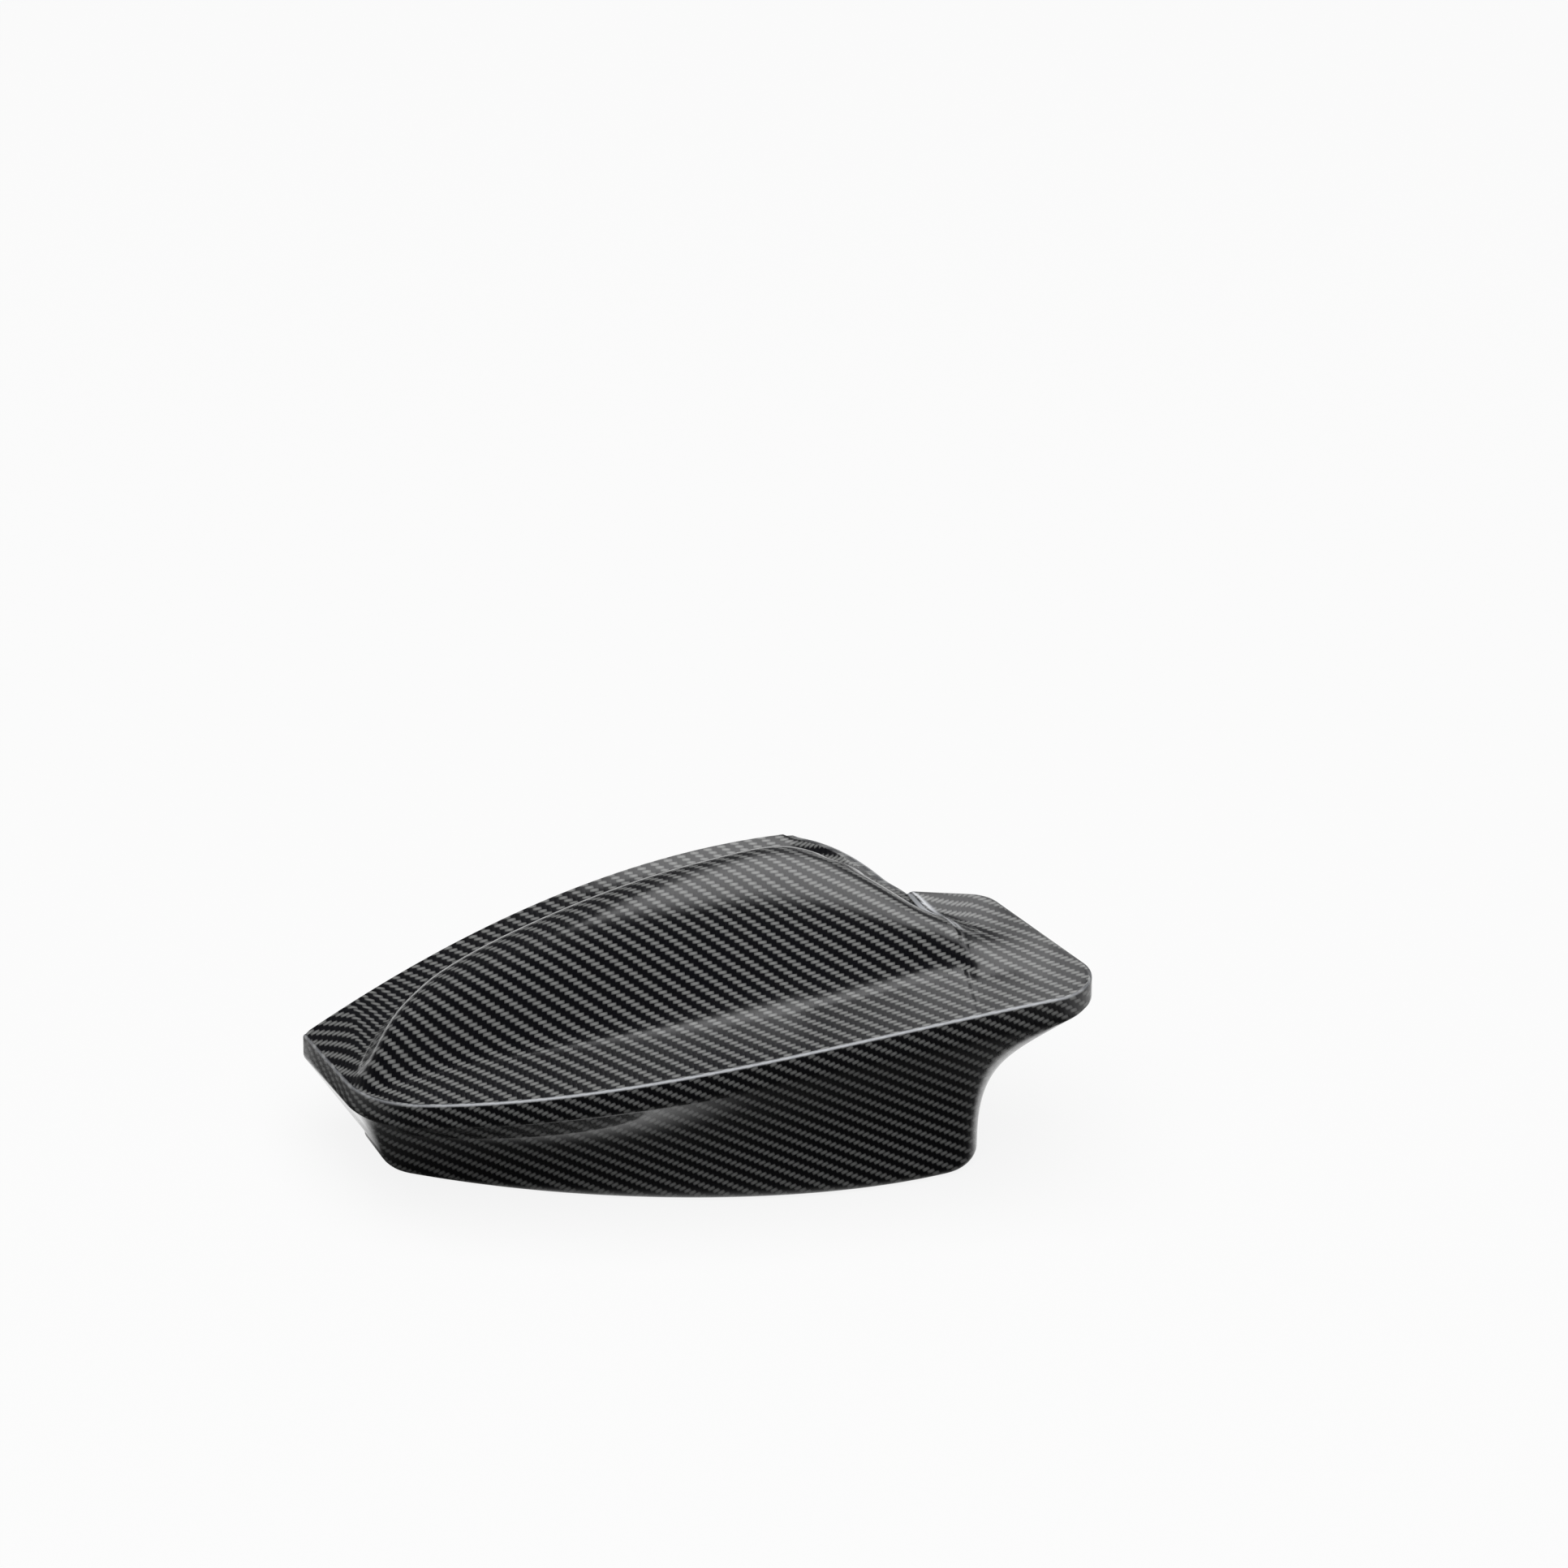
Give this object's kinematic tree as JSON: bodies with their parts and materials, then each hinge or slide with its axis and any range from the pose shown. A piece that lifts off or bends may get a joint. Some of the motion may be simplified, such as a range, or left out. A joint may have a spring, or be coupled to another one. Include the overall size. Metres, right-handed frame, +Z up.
{
  "type": "wing mirror cover",
  "caption": "Carbon fibre wing mirror cover: a bulged shell with a blade edge, an inboard horn and a rolled rear rim, with plastic clips inside.",
  "frame": {"origin": "middle of the cover in plan, on the surface that it lies on", "axes": "+X inboard towards the horn, +Y towards the parting edge, +Z up out of the bulged front face"},
  "size_m": [0.2496, 0.1216, 0.0941],
  "materials": {
    "lacquered_carbon": "2x2 twill carbon laminate under clear gloss lacquer",
    "clip_plastic": "moulded black plastic, glossy"
  },
  "bodies": {
    "root": {"carbon_shell": "lacquered_carbon", "side_clip": "clip_plastic", "retaining_clips": "clip_plastic"}
  },
  "joints": []
}
